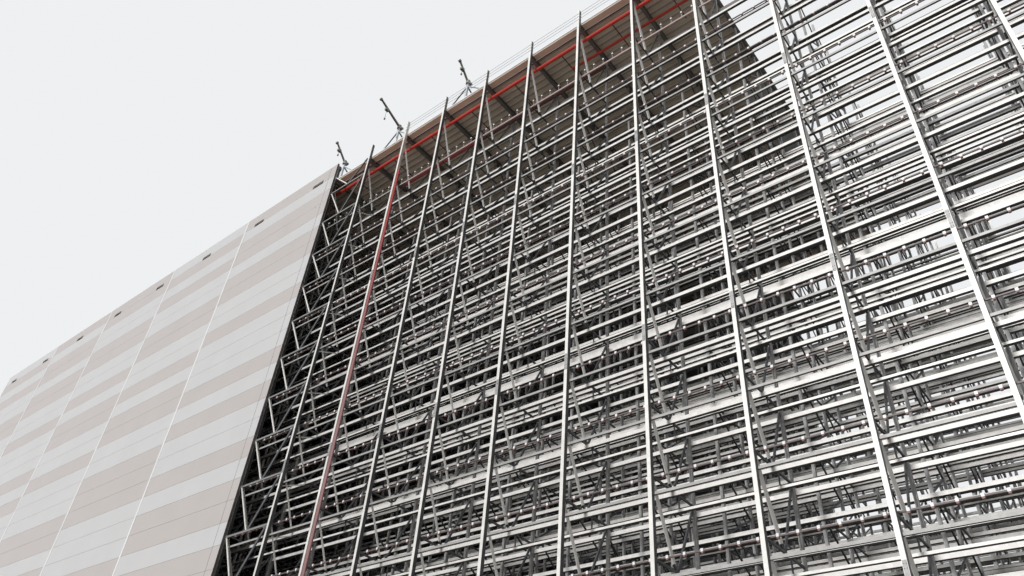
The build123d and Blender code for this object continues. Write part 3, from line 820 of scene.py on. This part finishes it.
def buildDeckGroovesAndShade():
    store = emptyStore()
    count = round((deckHigh.y - deckLow.y) / deckGroovesAndShade["pitch"])
    pitch = (deckHigh.y - deckLow.y) / count
    wide, tall = deckGroovesAndShade["wide"] / 2, deckGroovesAndShade["tall"]
    for rib in range(count):
        inMiddle = rib // (count // 3) == 1
        right = gridX(deckGroovesAndShade["shortBays"] if inMiddle else deckBays)
        for offset, rise in (("crown", 0), ("trough", deckGroovesAndShade["troughRise"])):
            z = deckLow.z + rise
            y = deckLow.y + rib * pitch + deckGroovesAndShade[offset]
            addBox(store, (deckLow.x, y - wide, z - tall), (right, y + wide, z))
    makePiece("deckGroovesAndShade", store, [deckShade])


# Sprinkler heads on the thin line at every level (half width, half depth, height of the white part), each
# on a brown body, and the rail with its own heads at the topmost level, which turns pale past a gridline
rackLines = {"perBay": 6, "head": (0.017, 0.017, 0.026), "bodyTall": 0.022, "bodyShare": 0.8,
             "pipeRadius": 0.01, "topRise": 0.053, "topDrop": 0.12, "topTall": 0.04, "topWide": 0.024,
             "dropper": 0.01, "topChange": 17.2}


def buildRackLines():
    low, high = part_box("rack_sprinkler_lines")
    y = (low.y + high.y) / 2
    pipeRise = low.z + rackLines["pipeRadius"] - storey
    railZ = topLevel - rackLines["topDrop"]
    heads, rail = emptyStore(), emptyStore()
    wide, deep, tall = rackLines["head"]
    slim, dropper = wide * rackLines["bodyShare"], rackLines["dropper"] / 2
    for number in range(cladBays, bayCount):
        for step in range(rackLines["perBay"]):
            x = gridX(number) + (step + 0.5) * bay / rackLines["perBay"]
            for level in range(1, levelCount + 1):
                z = levelZ(level) + (pipeRise if level < levelCount else rackLines["topRise"])
                neck = z - tall / 2
                addBox(heads, (x - wide, y - deep, neck), (x + wide, y + deep, z + tall))
                addBox(heads, (x - slim, y - deep, neck - rackLines["bodyTall"]),
                       (x + slim, y + deep, neck), 1)
                if level == levelCount:
                    addBox(rail, (x - dropper, y - dropper, railZ), (x + dropper, y + dropper, neck))
    railLow, half = railZ - rackLines["topTall"] / 2, rackLines["topWide"] / 2
    corner, change = gridX(cladBays), gridX(rackLines["topChange"])
    for left, right, mark in ((corner, change, 0), (change, postHigh.x, 1)):
        addBox(rail, (left, y - half, railLow), (right, y + half, railLow + rackLines["topTall"]), mark)
    makePiece("sprinklerHeads", heads, [whiteSheet, headBody])
    makePiece("topLevelRail", rail, [frameSteel, palePipe])


# Couplings at every gridline of the sprinkler main, its hangers, and upstands with their branches
mainPipe = {"radius": 0.0375, "couplingLong": 0.06, "couplingProud": 0.006, "hangerEvery": 4,
            "hangerWide": 0.024, "hangerThick": 0.008, "upstandRadius": 0.018, "upstandRise": 0.06,
            "branchRadius": 0.014, "branchRise": 0.04, "branchLine": 1.2}


def buildMainPipe():
    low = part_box("roof_sprinkler_main")[0]
    radius, half = mainPipe["radius"], mainPipe["couplingLong"] / 2
    wide, thick = mainPipe["hangerWide"] / 2, mainPipe["hangerThick"] / 2
    y, z = low.y + radius, low.z + radius
    branchZ, branchY = z + mainPipe["branchRise"], lineY(mainPipe["branchLine"])
    red, dark, rods = emptyStore(), emptyStore(), emptyStore()
    for number in range(deckBays + 1):
        x = gridX(number)
        addBar(red, (x - half, y, z), (x + half, y, z),
               roundSection(radius + mainPipe["couplingProud"], 10), (0, 0, 1))
        if number % mainPipe["hangerEvery"] != 1:
            addBox(rods, (x - wide, y - thick, z + radius), (x + wide, y + thick, rafterUnder))
        if number < deckBays:
            x += bay / 2
            addBar(red, (x, y, z), (x, y, z + radius + mainPipe["upstandRise"]),
                   roundSection(mainPipe["upstandRadius"], 6), (1, 0, 0))
            addBar(dark, (x, y, branchZ), (x, branchY, branchZ),
                   roundSection(mainPipe["branchRadius"], 6), (1, 0, 0))
    makePiece("mainCouplings", red, [redPipe])
    makePiece("mainHangers", rods, [redPipe])
    makePiece("sprinklerBranches", dark, [branchPipe])


# Last length of the riser, up to the main; it laps the riser and is a little slimmer
riserTop = {"end": 16.03, "lap": 0.05, "slimmer": 0.003}


def buildRiserTop():
    low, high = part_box("sprinkler_riser")
    middle = (low + high) / 2
    store = emptyStore()
    addBar(store, (middle.x, middle.y, high.z - riserTop["lap"]), (middle.x, middle.y, riserTop["end"]),
           roundSection((high.y - low.y) / 2 - riserTop["slimmer"], 10), (1, 0, 0))
    makePiece("riserTopLength", store, [riserRed])


# Far sprinkler line under the roof, between gridlines; past the change it turns dark red as painted shade
farLine = {"line": 1.15, "drop": 0.23, "radius": 0.045, "start": 16.2, "change": 18.2, "stop": 21.0,
           "hangers": (17, 18, 19, 20), "hangerWide": 0.016}


def buildFarLine():
    store = emptyStore()
    y, z, half = lineY(farLine["line"]), rafterUnder - farLine["drop"], farLine["hangerWide"] / 2
    ends = [gridX(farLine[key]) for key in ("start", "change", "stop")]
    for left, right, mark in zip(ends, ends[1:], (0, 1)):
        addBar(store, (left, y, z), (right, y, z), roundSection(farLine["radius"]), (0, 0, 1), mark)
    for number in farLine["hangers"]:
        x = gridX(number)
        addBox(store, (x - half, y - half, z), (x + half, y + half, rafterUnder))
    makePiece("farSprinklerLine", store, [fadedPipe, branchPipe])


# Purlin under the edge of the deck, and the brown closing sheet between them and the wall
roofEdge = {"purlinLine": 0.25, "purlinTall": 0.045, "purlinWide": 0.024, "sheetThick": 0.004}


def buildRoofEdge():
    purlin, sheet = emptyStore(), emptyStore()
    y, half, right = lineY(roofEdge["purlinLine"]), roofEdge["purlinWide"] / 2, gridX(deckBays)
    addBox(purlin, (postLow.x, y - half, deckLow.z - roofEdge["purlinTall"]), (right, y + half, deckLow.z))
    makePiece("edgePurlin", purlin, [rackSteel])
    addBox(sheet, (postLow.x, deckLow.y, deckLow.z - roofEdge["sheetThick"]), (right, y - half, deckLow.z))
    makePiece("edgeClosingSheet", sheet, [edgeSheet])


# Welded membrane on the roof, lapped at every gridline
roofSheet = {"thick": 0.004, "lapWidth": 0.05, "lapThick": 0.003}


def buildMembrane():
    store = emptyStore()
    top = deckHigh.z + roofSheet["thick"]
    addBox(store, (deckLow.x, deckLow.y, deckHigh.z), (gridX(deckBays), deckHigh.y, top))
    for number in range(1, deckBays):
        x = gridX(number)
        addBox(store, (x - roofSheet["lapWidth"] / 2, deckLow.y, top),
               (x + roofSheet["lapWidth"] / 2, deckHigh.y, top + roofSheet["lapThick"]), 1)
    makePiece("roofMembrane", store, [membrane, panelLight])


buildDeckGroovesAndShade()
buildRackLines()
buildMainPipe()
buildRiserTop()
buildFarLine()
buildRoofEdge()
buildMembrane()
print("pipes and roof sheet made")


# Plain pale floor, soft light and a pale surround for the camera
studio = {"floor": "#e4e4e2", "floorBounce": "#9c9995", "floorRoughness": 0.9, "floorSize": 900,
          "floorDrop": 0.002, "back": "#eef0f2", "backStrength": 1.0, "worldStrength": 0.19,
          "sunAngle": 5, "sunStrength": 2.65, "sunWay": (0.02, 0.8, -0.47),
          "fillAngle": 40, "fillStrength": 1.5, "fillWay": (0.45, -0.8, -0.4)}


def backdropRays(tree):
    # Camera, glossy and transmission rays see the pale backdrop, all others the light
    path = addNode(tree, "ShaderNodeLightPath")
    first = addNode(tree, "ShaderNodeMath", {"operation": "MAXIMUM"},
                    {0: path.outputs["Is Camera Ray"], 1: path.outputs["Is Glossy Ray"]})
    return addNode(tree, "ShaderNodeMath", {"operation": "MAXIMUM"},
                   {0: first.outputs[0], 1: path.outputs["Is Transmission Ray"]}).outputs[0]


def makeFloor():
    # Rolled-out matte paper: looks pale but throws back little light, as bare ground does
    material, tree, shader = newMaterial("matteStudioFloor")
    thrown, seen = hexColour(studio["floorBounce"]), hexColour(studio["floor"])
    tone = addNode(tree, "ShaderNodeMix", {"data_type": "RGBA", mixLow: thrown, mixHigh: seen},
                   {mixShare: backdropRays(tree)})
    tree.links.new(tone.outputs[mixOut], shader.inputs["Base Color"])
    shader.inputs["Roughness"].default_value = studio["floorRoughness"]
    return material


def buildStage():
    bpy.ops.mesh.primitive_plane_add(size=studio["floorSize"], location=(0, 0, -studio["floorDrop"]))
    floor = bpy.context.object
    floor.name = "studioFloor"
    floor.data.materials.append(makeFloor())
    world = bpy.data.worlds.new("studio")
    scene.world = world
    world.use_nodes = True
    tree = world.node_tree
    tree.nodes.clear()
    light = addNode(tree, "ShaderNodeBackground",
                    {"Strength": studio["worldStrength"], "Color": (1, 1, 1, 1)})
    seen = addNode(tree, "ShaderNodeBackground",
                   {"Strength": studio["backStrength"], "Color": hexColour(studio["back"])})
    mixer = addNode(tree, "ShaderNodeMixShader", None,
                    {0: backdropRays(tree), 1: light.outputs[0], 2: seen.outputs[0]})
    addNode(tree, "ShaderNodeOutputWorld", None, {"Surface": mixer.outputs[0]})
    for name in ("sun", "fill"):
        data = bpy.data.lights.new(f"{name}Lamp", "SUN")
        data.energy = studio[f"{name}Strength"]
        data.angle = math.radians(studio[f"{name}Angle"])
        lamp = bpy.data.objects.new(f"{name}Lamp", data)
        scene.collection.objects.link(lamp)
        lamp.rotation_euler = Vector(studio[f"{name}Way"]).to_track_quat("-Z", "Y").to_euler()
    scene.view_settings.view_transform = "Standard"


buildStage()
print("stage set")
